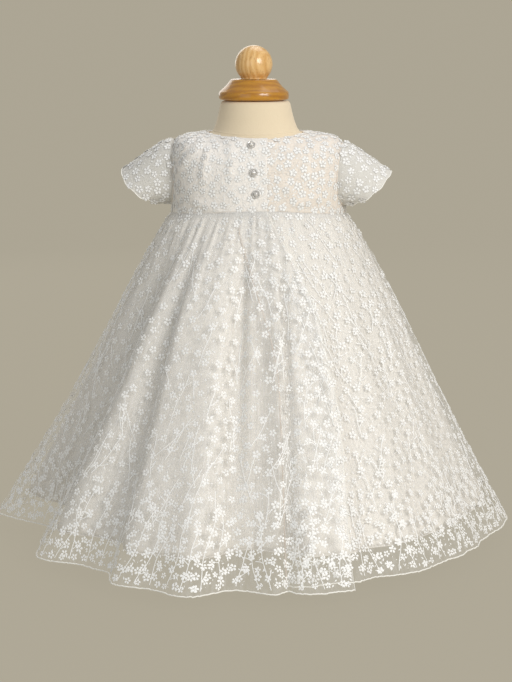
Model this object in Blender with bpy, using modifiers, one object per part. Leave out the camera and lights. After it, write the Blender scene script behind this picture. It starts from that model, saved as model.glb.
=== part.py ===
"""Christening dress of embroidered net over a plain lining, on a limbless child's dress form.

Metres, +Z up. The form stands on the floor at z = 0, its post on the Z axis. The closure of the
dress faces -Y. A bearing is an angle in degrees round the Z axis, from the front towards +X.
"""

import math
from collections import namedtuple

import bmesh
import bpy
from mathutils import Matrix, Vector

MM = 0.001

# Driving sizes
SEAM_GAP = 0.3 * MM
FORM_CLEARANCE = 0.9 * MM
LINING_WALL = 1.0 * MM
NET_WALL = 1.0 * MM
BODICE_WALL = 1.4 * MM
LAYER_STEP = 0.4 * MM
HEM_HEIGHT = 15 * MM
LINING_HEM_HEIGHT = 37 * MM
PLACKET_EDGE_X = 10 * MM
UNDERLAP_EDGE_X = -18 * MM
# The dress sits turned a little on the form: the bearings of its two sides.
DRESS_TURN = -6.0
LEFT_SIDE = 90 + DRESS_TURN
RIGHT_SIDE = -90 + DRESS_TURN

# What the cloth lies on: each row is one ring of the form, from the neck down to the flat foot.
# side, front and back are heights in mm, width and the depths are half sizes in mm, square is the
# exponent of the ring's outline (2 is an ellipse, more is squarer), and shift is its place in X.
Ring = namedtuple("Ring", "name side front back width front_depth back_depth square shift")
FORM_RINGS = [
    Ring("neck_rim", 419.8, 419.8, 419.8, 30.5, 30.0, 30.0, 2.0, -0.5),
    Ring("neck_edge", 417.4, 417.4, 417.4, 32.8, 32.2, 32.2, 2.0, -0.5),
    Ring("neck_middle", 409.0, 409.0, 409.0, 34.8, 34.2, 34.2, 2.0, -0.5),
    Ring("neck_low", 399.0, 398.0, 399.0, 37.6, 36.6, 37.0, 2.0, -0.3),
    Ring("neck_base", 390.8, 387.5, 390.6, 42.2, 40.6, 41.6, 2.0, 0.0),
    Ring("shoulder_inner", 388.2, 380.5, 385.5, 54.0, 46.0, 46.5, 2.05, 0.5),
    Ring("shoulder_middle", 386.6, 373.0, 379.0, 66.0, 50.5, 49.5, 2.15, 1.0),
    Ring("shoulder_outer", 382.8, 365.0, 370.5, 75.2, 53.6, 51.6, 2.35, 2.0),
    Ring("arm_top", 374.0, 356.5, 360.0, 78.8, 56.0, 53.0, 2.6, 2.5),
    Ring("arm_middle", 354.0, 345.0, 347.0, 79.4, 57.8, 54.0, 2.75, 2.5),
    Ring("arm_low", 335.0, 335.0, 335.0, 79.6, 59.0, 54.6, 2.6, 2.5),
    Ring("underarm", 323.0, 327.0, 324.5, 80.0, 59.7, 55.0, 2.4, 2.5),
    Ring("waist", 314.0, 319.5, 316.0, 80.6, 60.2, 55.3, 2.3, 2.5),
    Ring("belly", 272.0, 272.0, 272.0, 81.0, 62.5, 56.5, 2.2, 2.0),
    Ring("hip", 214.0, 214.0, 214.0, 82.0, 60.0, 60.0, 2.2, 1.0),
    Ring("seat", 164.0, 164.0, 164.0, 76.0, 54.0, 56.0, 2.2, 0.0),
    Ring("seat_low", 140.0, 140.0, 140.0, 64.0, 46.0, 47.0, 2.1, 0.0),
    Ring("foot_edge", 128.0, 128.0, 128.0, 50.0, 37.0, 37.0, 2.0, 0.0),
    Ring("foot", 125.0, 125.0, 125.0, 43.0, 31.0, 31.0, 2.0, 0.0),
]
NECKLINE = 4.3
ARMHOLE_TOP = 7.45
ARMHOLE_BOTTOM = 11.15
WAIST = 12.0
FOOT = 18.0
SHOULDER_STATIONS = [NECKLINE, 4.5, 4.8, 5.2, 5.6, 6.0, 6.5, 7.0]
ARMHOLE_BEARINGS = 20.5

# The skirt: half sizes of the hem's ring before its folds.
HEM_HALF_WIDTH = 234 * MM
HEM_FRONT_DEPTH = 230 * MM
HEM_BACK_DEPTH = 231 * MM

# Folds that run from the waist to the hem. waist and hem are bearings of the fold's line at each
# end, depth is how far it stands out at the hem in mm (below zero for a hollow), spread is its
# half width in degrees, and growth is the power of the fall that it grows with.
Fold = namedtuple("Fold", "name waist hem depth spread growth")
FRONT_RIGHT_FOLDS = [
    Fold("left_flare", -98, -94.5, 25, 7, 2.2),
    Fold("left_hollow", -55, -76.5, -28, 14, 1),
    Fold("left_front_hollow", -39, -45, -12, 6, 1),
    Fold("left_front_slope", -22, -26, 11, 7.5, 1),
    Fold("front_flare", -16, -12.5, 30, 7.5, 1),
    Fold("front_hollow", -10, -3.5, -8, 4, 1),
    Fold("lap_flare", 12, 13.5, 20, 14.5, 1),
]
FRONT_LEFT_FOLDS = [
    Fold("right_front_hollow", 24, 21.5, -6, 7.5, 1),
    Fold("right_soft_hollow", 44, 41, -6, 8.5, 1),
    Fold("right_side_hollow", 66, 63.5, -10, 11, 1),
    Fold("right_side_flare", 90, 90, 9, 7.5, 1),
]
BACK_FOLDS = [
    Fold("right_rear_hollow", 106, 105, -13, 7, 1),
    Fold("right_rear_flare", 119, 120, 18, 8, 1),
    Fold("back_right_hollow", 131, 134, -17, 6, 1),
    Fold("back_right_flare", 145, 148, 24, 7, 1),
    Fold("back_middle_hollow", 160, 163, -15, 7, 1),
    Fold("back_middle_flare", 176, 179, 20, 8, 1),
    Fold("back_left_hollow", -166, -164, -18, 6, 1),
    Fold("back_left_flare", -151, -149, 23, 7.5, 1),
    Fold("left_back_hollow", -136, -135, -16, 6, 1),
    Fold("left_back_flare", -124, -122, 10, 7, 1),
    Fold("left_rear_hollow", -110, -108, -14, 6, 1),
]
LINING_HOLLOW = Fold("lining_front_hollow", 0, 1, -30, 8, 1)
LINING_RIDGE_SHARE = 0.3
LINING_INSET_AT_HEM = 7 * MM

# Cap sleeves, for the +X side, in mm: the pointed tip, the low point under the arm and how far
# the hem stands forward and backward.
SLEEVE_TIP = Vector((128.5, 0.0, 354.0)) * MM
SLEEVE_LOW = Vector((87.5, 0.0, 322.5)) * MM
SLEEVE_HALF_DEPTH = 30 * MM
SLEEVE_HEM_BOW = 4 * MM
SLEEVE_CROWN = 4.5 * MM
SLEEVE_WALL = 1.0 * MM
SLEEVE_SIDES = 20
SLEEVE_SEAM_LIFT = 2.7 * MM

# Buttons down the placket: place across and up, in mm, and the turned outline of one, in mm.
BUTTON_PLACES = [(-4.1, 379.0), (-2.3, 356.0), (0.0, 336.8)]
BUTTON_OUTLINE = [(0, 3.0), (1.5, 2.7), (2.7, 1.6), (3.1, 0.9), (4.5, 0.7), (4.5, 0.0), (0, 0)]

# Turned wood, outlines as (radius, height) in mm from the part's own foot.
WOOD_X = -2 * MM
CAP_OUTLINE = [(0, 20.0), (20.6, 20.0), (22.0, 19.4), (32.4, 8.2), (33.0, 6.0), (32.9, 3.4), (32.0, 2.2), (28.0, 2.2),
               (28.0, 0.0), (0, 0)]
FINIAL_RADIUS = 17.6 * MM
FINIAL_TOP = 471.6 * MM
FINIAL_FOOT_RADIUS = 13.0 * MM
BASE_OUTLINE = [(0, 13.0), (50, 13.0), (56, 11.8), (60, 8.0), (60, 2.0), (58, 0.0), (0, 0)]
POST_OUTLINE = [(0, 111.4), (26, 111.4), (27, 109.5), (26, 106.5), (12, 101.0), (9.5, 94.0), (9.5, 12.0),
                (14.0, 3.5), (20.0, 2.0), (20.0, 0.0), (0, 0)]


def clear_scene():
    for old in list(bpy.data.objects):
        bpy.data.objects.remove(old)


def smooth(value):
    value = min(1.0, max(0.0, value))
    return value * value * (3 - 2 * value)


def ease_out(value):
    value = min(1.0, max(0.0, value))
    return value * (2 - value)


def mix(a, b, share):
    return a + (b - a) * share


def turn(bearing, centre):
    """The signed angle from centre to bearing, between -180 and 180."""
    return (bearing - centre + 180) % 360 - 180


# Materials

def make_material(name, colour, roughness, metallic=0.0):
    material = bpy.data.materials.new(name)
    material.use_nodes = True
    shader = material.node_tree.nodes["Principled BSDF"]
    shader.inputs["Base Color"].default_value = (*colour, 1.0)
    shader.inputs["Roughness"].default_value = roughness
    shader.inputs["Metallic"].default_value = metallic
    return material


# The form's surface

def through_rings(station, column):
    """One column of the ring table at a station between rings, on a smooth curve."""
    last = len(FORM_RINGS) - 1
    low = min(int(station), last - 1)
    share = station - low
    values = [getattr(FORM_RINGS[min(last, max(0, low + k))], column) for k in (-1, 0, 1, 2)]
    before, start, end, after = values
    slope_in, slope_out = (end - before) / 2, (after - start) / 2
    if (end - start) * slope_in < 0:
        slope_in = 0
    if (end - start) * slope_out < 0:
        slope_out = 0
    s2, s3 = share**2, share**3
    return (
        (2 * s3 - 3 * s2 + 1) * start
        + (s3 - 2 * s2 + share) * slope_in
        + (3 * s2 - 2 * s3) * end
        + (s3 - s2) * slope_out
    )


def oval_radius(bearing, half_width, front_depth, back_depth, square=2.0):
    """How far an oval ring lies from the axis at a bearing."""
    across, along = math.sin(math.radians(bearing)), math.cos(math.radians(bearing))
    depth = front_depth if along > 0 else back_depth
    return (abs(across / half_width) ** square + abs(along / depth) ** square) ** (-1 / square)


def round_axis(bearing, radius, height):
    angle = math.radians(bearing)
    return Vector((radius * math.sin(angle), -radius * math.cos(angle), height))


def form_point(station, bearing):
    width, front, back, square = (
        through_rings(station, column) for column in ("width", "front_depth", "back_depth", "square")
    )
    along = math.cos(math.radians(bearing))
    end = through_rings(station, "front" if along > 0 else "back")
    height = mix(through_rings(station, "side"), end, along**2)
    point = round_axis(bearing, oval_radius(bearing, width, front, back, square) * MM, height * MM)
    point.x += through_rings(station, "shift") * MM
    return point


def on_form(station, bearing, offset):
    """A point that lies offset outside the form's surface."""
    step, swing = 0.02, 0.2
    down = form_point(station + step, bearing) - form_point(station - step, bearing)
    round_ring = form_point(station, bearing + swing) - form_point(station, bearing - swing)
    normal = down.cross(round_ring).normalized()
    point = form_point(station, bearing)
    if normal.dot(Vector((point.x, point.y, 0))) < 0:
        normal.negate()
    return point + normal * offset


def bearing_at_x(station, across):
    """The bearing on the front of the form where it is that far across."""
    low, high = -80.0, 80.0
    for _ in range(30):
        middle = (low + high) / 2
        if form_point(station, middle).x < across:
            low = middle
        else:
            high = middle
    return (low + high) / 2


# Meshes

def link(name, mesh, material, group):
    part = bpy.data.objects.new(name, mesh)
    part.data.materials.append(material)
    group.objects.link(part)
    return part


def sheet_mesh(name, rows, closed=False):
    """An open surface through rows of points, its face side outwards."""
    build = bmesh.new()
    grid = [[build.verts.new(point) for point in row] for row in rows]
    columns = len(rows[0])
    for upper, lower in zip(grid, grid[1:]):
        for k in range(columns if closed else columns - 1):
            right = (k + 1) % columns
            build.faces.new((upper[k], lower[k], lower[right], upper[right]))
    mesh = bpy.data.meshes.new(name)
    build.to_mesh(mesh)
    build.free()
    mesh.shade_smooth()
    return mesh


def cloth(name, rows, wall, material, group, closed=False):
    """A cloth piece: a surface through rows of points, given its thickness outwards."""
    piece = link(name, sheet_mesh(name, rows, closed), material, group)
    solid = piece.modifiers.new("cloth thickness", "SOLIDIFY")
    solid.thickness = wall
    solid.offset = 1.0
    solid.use_even_offset = True
    return piece


def loft_solid(name, rings, material, group):
    """A closed body through rings of points, capped flat at both ends."""
    mesh = sheet_mesh(name, rings, closed=True)
    build = bmesh.new()
    build.from_mesh(mesh)
    rims = [edge for edge in build.edges if edge.is_boundary]
    bmesh.ops.holes_fill(build, edges=rims)
    build.to_mesh(mesh)
    build.free()
    mesh.shade_smooth()
    mesh.set_sharp_from_angle(angle=math.radians(40))
    return link(name, mesh, material, group)


def turned(name, outline, place, sides, material, group):
    """A body turned from an outline of (radius, height) in mm, from the top down its outer side."""
    build = bmesh.new()
    points = [build.verts.new((radius * MM, 0, height * MM)) for radius, height in outline]
    for first, second in zip(points, points[1:]):
        build.edges.new((first, second))
    mesh = bpy.data.meshes.new(name)
    build.to_mesh(mesh)
    build.free()
    piece = link(name, mesh, material, group)
    screw = piece.modifiers.new("turned", "SCREW")
    screw.axis = "Z"
    screw.steps = screw.render_steps = sides
    screw.use_merge_vertices = True
    screw.merge_threshold = 0.00005
    piece.location = place
    return piece


# The dress form

def make_form(material, group):
    """Torso and neck covered in jersey, with no arms or legs and a flat foot."""
    stations = [0, 0.5, 1, 2, 3, 3.6, *SHOULDER_STATIONS, 7.6, 8.2, 8.8, 9.4, 10.2, 11, 12, 13, 14, 15, 16, 17, 18]
    sides = 44
    rings = [[form_point(s, 360 * k / sides) for k in range(sides)] for s in stations]
    loft_solid("form_torso", rings, material, group)


def make_woodwork(material, group):
    cap_foot = FORM_RINGS[0].side * MM + SEAM_GAP
    turned("neck_cap", CAP_OUTLINE, (WOOD_X, 0, cap_foot), 32, material, group)
    foot = cap_foot + CAP_OUTLINE[0][1] * MM + SEAM_GAP
    centre = FINIAL_TOP - FINIAL_RADIUS
    steps = 9
    lowest = math.radians(132)
    outline = []
    for k in range(steps + 1):
        angle = lowest * k / steps
        outline.append((FINIAL_RADIUS * math.sin(angle) / MM, (centre - foot + FINIAL_RADIUS * math.cos(angle)) / MM))
    outline += [(FINIAL_FOOT_RADIUS / MM, 0.8), (FINIAL_FOOT_RADIUS / MM, 0.0), (0, 0)]
    turned("finial_ball", outline, (WOOD_X, 0, foot), 24, material, group)
    turned("stand_base", BASE_OUTLINE, (0, 0, 0), 36, material, group)
    post_foot = BASE_OUTLINE[0][1] * MM + SEAM_GAP
    turned("stand_post", POST_OUTLINE, (0, 0, post_foot), 20, material, group)


# The bodice

def lap_rise(past_edge):
    """How far a lapping piece has risen, from 0 to 1, so many degrees past the edge that it covers."""
    return smooth((past_edge + 14) / 7)


def armhole_half_width(station):
    """How many degrees the armhole takes on each side of the arm's middle at a station."""
    middle, half = (ARMHOLE_TOP + ARMHOLE_BOTTOM) / 2, (ARMHOLE_BOTTOM - ARMHOLE_TOP) / 2
    across = 1 - ((station - middle) / half) ** 2
    return ARMHOLE_BEARINGS * math.sqrt(max(0.0, across))


def armhole_stations(count):
    middle, half = (ARMHOLE_TOP + ARMHOLE_BOTTOM) / 2, (ARMHOLE_BOTTOM - ARMHOLE_TOP) / 2
    return [middle - half * math.cos(math.pi * k / count) for k in range(count + 1)]


def seam_turn(station):
    """Half a seam's gap as degrees, at the form's side."""
    return math.degrees(SEAM_GAP / 2 / abs(form_point(station, 90).x))


def bodice_point(station, bearing, lapped):
    offset = FORM_CLEARANCE
    if lapped:
        offset += (BODICE_WALL + LAYER_STEP) * lap_rise(bearing - bearing_at_x(station, UNDERLAP_EDGE_X))
    return on_form(station, bearing, offset)


def make_bodice(material, group):
    """Right front lapped over the left front, and a back in one piece, seamed at shoulder and side."""
    waist_seam = WAIST - 0.05
    stations = [*SHOULDER_STATIONS, *armhole_stations(SLEEVE_SIDES // 2), waist_seam]
    right, left, back = [], [], []
    for station in stations:
        cut = seam_turn(station)
        if ARMHOLE_TOP < station < ARMHOLE_BOTTOM:
            cut += armhole_half_width(station)
        edge = bearing_at_x(station, PLACKET_EDGE_X)
        under = bearing_at_x(station, UNDERLAP_EDGE_X)
        right.append([bodice_point(station, mix(RIGHT_SIDE + cut, edge, k / 16), True) for k in range(17)])
        left.append([bodice_point(station, mix(under, LEFT_SIDE - cut, k / 14), False) for k in range(15)])
        back.append([bodice_point(station, mix(LEFT_SIDE + cut, RIGHT_SIDE + 360 - cut, k / 22), False) for k in range(23)])
    cloth("bodice_front_right", right, BODICE_WALL, material, group)
    cloth("bodice_front_left", left, BODICE_WALL, material, group)
    cloth("bodice_back", back, BODICE_WALL, material, group)


def make_sleeve(name, side, material, group):
    """A cap sleeve: a short tube set into the armhole, long over the shoulder, nothing under the arm."""
    middle, half = (ARMHOLE_TOP + ARMHOLE_BOTTOM) / 2, (ARMHOLE_BOTTOM - ARMHOLE_TOP) / 2
    arm_bearing = LEFT_SIDE if side > 0 else RIGHT_SIDE
    inset = SLEEVE_WALL + SEAM_GAP + 0.3 * MM
    bearing_reach = ARMHOLE_BEARINGS - math.degrees(inset / abs(form_point(middle, 90).x))
    rise = (form_point(ARMHOLE_TOP, 90).z - form_point(ARMHOLE_BOTTOM, 90).z) / 2
    station_reach = half * (1 - inset / rise)
    dress_turn = Matrix.Rotation(math.radians(DRESS_TURN), 3, "Z")
    rows, along = [], 5
    for step in range(along + 1):
        share = step / along
        row = []
        for k in range(SLEEVE_SIDES):
            angle = 2 * math.pi * k / SLEEVE_SIDES
            forward, top = math.sin(angle), (1 + math.cos(angle)) / 2
            station, bearing = middle - station_reach * math.cos(angle), arm_bearing - side * bearing_reach * forward
            seam = on_form(station, bearing, SLEEVE_SEAM_LIFT)
            hem = SLEEVE_LOW.lerp(SLEEVE_TIP, top)
            hem.x *= side
            hem.y = -SLEEVE_HALF_DEPTH * forward
            hem.z -= SLEEVE_HEM_BOW * forward**2
            point = seam.lerp(dress_turn @ hem, share)
            belly = math.sin(math.pi * share**0.7)
            point.z += SLEEVE_CROWN * top * belly
            point.y -= 2 * MM * forward * belly
            row.append(point)
        rows.append(row[::-1] if side > 0 else row)
    cloth(name, rows, SLEEVE_WALL, material, group, closed=True)


# The skirt

def fold_height(fold, bearing, fall):
    away = turn(bearing, mix(fold.waist, fold.hem, fall)) / fold.spread
    return fold.depth * MM * fall**fold.growth * math.exp(-(away**2))


def fullness(fall):
    """How far the gathers hold the skirt out beyond a straight line, as a share of its spread."""
    return 0.1 * math.sin(math.pi * fall) * (1 - fall) ** 3


def lap_edge(fall):
    """Bearing of the overlapping front panel's free edge."""
    at_waist = bearing_at_x(WAIST, PLACKET_EDGE_X)
    return mix(at_waist, 25.5, ease_out(fall / 0.3)) - 6 * smooth((fall - 0.45) / 0.55)


def underlap_edge(fall):
    """Bearing of the underlapping front panel's free edge."""
    at_waist = bearing_at_x(WAIST, UNDERLAP_EDGE_X)
    return mix(at_waist, 8.0, ease_out(fall / 0.5)) - 1.3 * fall


def skirt_point(bearing, fall, folds, ridge_share=1.0, inset=0.0, offset=0.0):
    """A point of the skirt: fall is 0 at the waist seam and 1 at the net's hem."""
    top = on_form(WAIST, bearing, offset)
    hem_radius = oval_radius(bearing, HEM_HALF_WIDTH, HEM_FRONT_DEPTH, HEM_BACK_DEPTH) + offset - inset
    hem = round_axis(bearing, hem_radius, HEM_HEIGHT)
    point = top.lerp(hem, fall)
    out = fullness(fall) * (hem_radius - math.hypot(top.x, top.y))
    for fold in folds:
        share = ridge_share if fold.depth > 0 else 1.0
        out += share * fold_height(fold, bearing, fall)
    return point + round_axis(bearing, out, 0)


def seam_bearing(seam, side, fall):
    """Where a panel ends beside a side seam, half a seam's gap from it."""
    radius = mix(abs(form_point(WAIST, seam).x), HEM_HALF_WIDTH, fall)
    return seam + side * math.degrees(SEAM_GAP / 2 / radius)


def net_rows(start, end, columns, falls, folds, lapped=False):
    """Rows of one net panel between two edges, each a function of the fall."""
    offset = FORM_CLEARANCE + LINING_WALL + LAYER_STEP
    rows = []
    for fall in falls:
        first, last, under = start(fall), end(fall), underlap_edge(fall)
        row = []
        for k in range(columns + 1):
            bearing = mix(first, last, k / columns)
            lift = (NET_WALL + LAYER_STEP) * lap_rise(bearing - under) if lapped else 0.0
            row.append(skirt_point(bearing, fall, folds, offset=offset + lift))
        rows.append(row)
    return rows


def make_skirt(net, lining, group):
    """Three gathered net panels over one lining, all hung from the waist seam."""
    falls = [0.0, 0.06, 0.14, 0.24, 0.35, 0.47, 0.6, 0.74, 0.88, 1.0]
    all_folds = FRONT_RIGHT_FOLDS + FRONT_LEFT_FOLDS + BACK_FOLDS
    right = net_rows(lambda f: seam_bearing(RIGHT_SIDE, 1, f), lap_edge, 38, falls, FRONT_RIGHT_FOLDS + BACK_FOLDS, True)
    left = net_rows(underlap_edge, lambda f: seam_bearing(LEFT_SIDE, -1, f), 24, falls, FRONT_LEFT_FOLDS + BACK_FOLDS)
    back = net_rows(
        lambda f: seam_bearing(LEFT_SIDE, 1, f), lambda f: seam_bearing(360 + RIGHT_SIDE, -1, f), 52, falls, all_folds
    )
    cloth("skirt_net_front_right", right, NET_WALL, net, group)
    cloth("skirt_net_front_left", left, NET_WALL, net, group)
    cloth("skirt_net_back", back, NET_WALL, net, group)
    waist_height = form_point(WAIST, 90).z
    lining_fall = (waist_height - LINING_HEM_HEIGHT) / (waist_height - HEM_HEIGHT)
    rows = []
    around, down = 66, 6
    for step in range(down + 1):
        fall = lining_fall * step / down
        row = []
        for k in range(around):
            folds = [*all_folds, LINING_HOLLOW]
            row.append(skirt_point(360 * k / around, fall, folds, LINING_RIDGE_SHARE, LINING_INSET_AT_HEM, FORM_CLEARANCE))
        rows.append(row)
    cloth("skirt_lining", rows, LINING_WALL, lining, group, closed=True)


# Buttons

def make_buttons(material, group):
    """Three domed shank buttons, each square to the placket where it sits."""
    seat = FORM_CLEARANCE + 2 * BODICE_WALL + LAYER_STEP + SEAM_GAP
    for number, (across, height) in enumerate(BUTTON_PLACES, 1):
        low, high = NECKLINE, WAIST
        for _ in range(40):
            station = (low + high) / 2
            bearing = bearing_at_x(station, across * MM)
            if form_point(station, bearing).z > height * MM:
                low = station
            else:
                high = station
        surface = on_form(station, bearing, 0)
        outward = (on_form(station, bearing, MM) - surface).normalized()
        piece = turned(f"button_{number}", BUTTON_OUTLINE, surface + outward * (seat + 0.25 * MM), 14, material, group)
        piece.rotation_mode = "QUATERNION"
        piece.rotation_quaternion = outward.to_track_quat("Z", "Y")


def main():
    clear_scene()
    group = bpy.data.collections.new("christening dress on form")
    bpy.context.scene.collection.children.link(group)
    net = make_material("embroidered net", (0.83, 0.82, 0.79), 0.6)
    lining = make_material("lining", (0.80, 0.76, 0.69), 0.45)
    jersey = make_material("form jersey", (0.76, 0.66, 0.47), 0.85)
    wood = make_material("turned wood", (0.56, 0.30, 0.09), 0.3)
    pearl = make_material("pearl button", (0.72, 0.70, 0.68), 0.15, 0.3)
    make_form(jersey, group)
    make_woodwork(wood, group)
    make_bodice(net, group)
    make_sleeve("sleeve_left", 1, net, group)
    make_sleeve("sleeve_right", -1, net, group)
    make_skirt(net, lining, group)
    make_buttons(pearl, group)


main()
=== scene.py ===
"""A christening dress of embroidered net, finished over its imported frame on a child's dress form."""

import math
from collections import namedtuple

import bpy
import numpy as np
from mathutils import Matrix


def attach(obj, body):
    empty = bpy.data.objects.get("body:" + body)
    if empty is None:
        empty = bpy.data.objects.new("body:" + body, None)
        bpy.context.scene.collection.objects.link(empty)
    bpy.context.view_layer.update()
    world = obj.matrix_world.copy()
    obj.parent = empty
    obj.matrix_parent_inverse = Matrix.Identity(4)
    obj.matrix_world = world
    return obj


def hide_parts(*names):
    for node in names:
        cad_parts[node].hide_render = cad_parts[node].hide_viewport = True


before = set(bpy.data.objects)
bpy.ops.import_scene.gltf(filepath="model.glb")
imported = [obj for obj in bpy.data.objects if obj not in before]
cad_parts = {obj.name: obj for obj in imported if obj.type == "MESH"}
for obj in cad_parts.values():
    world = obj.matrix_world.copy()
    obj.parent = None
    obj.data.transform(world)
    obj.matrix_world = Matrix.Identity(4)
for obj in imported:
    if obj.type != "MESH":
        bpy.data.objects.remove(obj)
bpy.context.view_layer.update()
bpy.ops.object.select_all(action="DESELECT")
MM = 0.001


# The camera
# It stands in front of the closure, a little above the neck, and looks down on the skirt.

CAMERA_DISTANCE = 1.75
CAMERA_HEIGHT = 0.490
CAMERA_DOWN = 9.73
CAMERA_LENS = 97.2

bpy.ops.object.camera_add(
    location=(0, -CAMERA_DISTANCE, CAMERA_HEIGHT), rotation=(math.radians(90 - CAMERA_DOWN), 0, 0)
)
camera = bpy.context.object
camera.data.sensor_width = 36
camera.data.lens = CAMERA_LENS
bpy.context.scene.camera = camera


# The studio
# A floor that sweeps up into a backdrop, one greige paper, with a large soft key light from the
# right, a weak fill from the left, and even light from all round.

PAPER_COLOUR = (0.035, 0.032, 0.025)
PAPER_GLOW = (0.43, 0.393, 0.31)
PAPER_GLOW_STRENGTH = 0.93
PAPER_HALF_WIDTH = 6.0
PAPER_FAR = 4.0
PAPER_NEAR = -6.0
PAPER_TOP = 4.0
SWEEP_RADIUS = 1.6
WORLD_COLOUR = (0.98, 0.985, 0.985)
WORLD_STRENGTH = 0.37
Lamp = namedtuple("Lamp", "name place aim size power colour")
LAMPS = [
    Lamp("key", (0.95, -1.4, 1.05), (0, 0, 0.22), 0.8, 20.5, (1.0, 0.98, 0.945)),
    Lamp("fill", (-0.9, -1.6, 0.6), (0, 0, 0.2), 1.2, 3.4, (0.84, 0.93, 1.0)),
    Lamp("top", (0.2, 0.5, 1.6), (0, 0, 0.3), 0.9, 5.0, (1.0, 0.98, 0.95)),
    Lamp("back", (-0.5, 1.9, 1.0), (0, 0, 0.2), 1.4, 7.0, (1.0, 0.98, 0.96)),
]


class Value:
    """A number on its way through a material's nodes."""

    def __init__(self, tree, socket):
        self.tree, self.socket = tree, socket

    def maths(self, operation, first, second):
        node = self.tree.nodes.new("ShaderNodeMath")
        node.operation = operation
        for slot, term in zip(node.inputs, (first, second)):
            if isinstance(term, Value):
                self.tree.links.new(term.socket, slot)
            else:
                slot.default_value = term
        return Value(self.tree, node.outputs[0])

    def __add__(self, other):
        return self.maths("ADD", self, other)

    def __sub__(self, other):
        return self.maths("SUBTRACT", self, other)

    def __rsub__(self, other):
        return self.maths("SUBTRACT", other, self)

    def __mul__(self, other):
        return self.maths("MULTIPLY", self, other)

    def __gt__(self, other):
        return self.maths("GREATER_THAN", self, other)

    __radd__ = __add__
    __rmul__ = __mul__


class Finish:
    """A material and the nodes that make its surface."""

    def __init__(self, name, colour, roughness, **constants):
        self.material = bpy.data.materials.new(name)
        self.material.use_nodes = True
        self.tree = self.material.node_tree
        self.shader = self.tree.nodes["Principled BSDF"]
        self.shader.inputs["Base Color"].default_value = (*colour, 1)
        self.shader.inputs["Roughness"].default_value = roughness
        for socket, value in constants.items():
            slot = self.shader.inputs[socket.replace("_", " ")]
            slot.default_value = (*value, 1) if isinstance(value, tuple) else value

    def node(self, kind, settings=None, sockets=None, output=0):
        """Any node but a Math node: its settings, its sockets' values or links, and the output used."""
        node = self.tree.nodes.new("ShaderNode" + kind)
        for name, value in (settings or {}).items():
            setattr(node, name, value)
        for name, value in (sockets or {}).items():
            slot = node.inputs[name]
            if isinstance(value, Value):
                self.tree.links.new(value.socket, slot)
            else:
                slot.default_value = value
        return Value(self.tree, node.outputs[output])

    def feed(self, socket, value):
        self.tree.links.new(value.socket, self.shader.inputs[socket])

    def stretched(self, place, scale):
        return self.node("Mapping", None, {"Vector": place, "Scale": scale})

    def noise(self, place, scale, detail=2.0, distortion=0.0):
        sockets = {"Vector": place, "Scale": scale, "Detail": detail, "Distortion": distortion}
        return self.node("TexNoise", None, sockets)

    def blend(self, share, low, high):
        """A colour between two, by a share from 0 to 1."""
        low, high = (colour if isinstance(colour, Value) else (*colour, 1) for colour in (low, high))
        return self.node("Mix", {"data_type": "RGBA"}, {0: share, 6: low, 7: high}, 2)

    def bump(self, height, distance, strength):
        sockets = {"Height": height, "Distance": distance, "Strength": strength}
        self.feed("Normal", self.node("Bump", None, sockets))


def pick(piece):
    """Selects one piece alone, for the operator that follows."""
    bpy.ops.object.select_all(action="DESELECT")
    bpy.context.view_layer.objects.active = piece
    piece.select_set(True)


def apply_modifier(piece, name, kind, **settings):
    pick(piece)
    modifier = piece.modifiers.new(name, kind)
    for setting, value in settings.items():
        setattr(modifier, setting, value)
    bpy.ops.object.modifier_apply(modifier=modifier.name)
    piece.select_set(False)


paper = Finish("backdrop paper", PAPER_COLOUR, 0.9, Specular_IOR_Level=0.0, Emission_Color=PAPER_GLOW,
               Emission_Strength=PAPER_GLOW_STRENGTH)
bpy.ops.mesh.primitive_plane_add(size=1)
backdrop = bpy.context.object
backdrop.name = "backdrop"
for corner in backdrop.data.vertices:
    corner.co.x *= 2 * PAPER_HALF_WIDTH
    corner.co.y = PAPER_FAR if corner.co.y > 0 else PAPER_NEAR
for edge in backdrop.data.edges:
    edge.select = all(backdrop.data.vertices[v].co.y > 0 for v in edge.vertices)
for corner in backdrop.data.vertices:
    corner.select = corner.co.y > 0
for face in backdrop.data.polygons:
    face.select = False
bpy.ops.object.mode_set(mode="EDIT")
bpy.context.tool_settings.mesh_select_mode = (False, True, False)
bpy.ops.mesh.extrude_region_move(TRANSFORM_OT_translate={"value": (0, 0, PAPER_TOP)})
bpy.ops.object.mode_set(mode="OBJECT")
apply_modifier(backdrop, "sweep", "BEVEL", width=SWEEP_RADIUS, segments=16)
backdrop.data.shade_smooth()
backdrop.data.materials.append(paper.material)

for lamp in LAMPS:
    bpy.ops.object.light_add(type="AREA", location=lamp.place)
    light = bpy.context.object
    light.name = lamp.name
    x, y, z = np.array(lamp.aim) - np.array(lamp.place)
    light.rotation_euler = (math.atan2(math.hypot(x, y), -z), 0, math.atan2(y, x) - math.pi / 2)
    light.data.size, light.data.energy, light.data.color = lamp.size, lamp.power, lamp.colour
world = bpy.context.scene.world or bpy.data.worlds.new("studio")
bpy.context.scene.world = world
world.use_nodes = True
sky = world.node_tree.nodes["Background"].inputs
sky["Color"].default_value = (*WORLD_COLOUR, 1)
sky["Strength"].default_value = WORLD_STRENGTH
bpy.context.scene.view_settings.view_transform = "Standard"


# The torso and neck
# A limbless infant form in one moulding, covered in cream jersey that is pulled tight, with a
# seam round the foot of the neck. Rings from the neck down, in mm, with half widths and depths.

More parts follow.
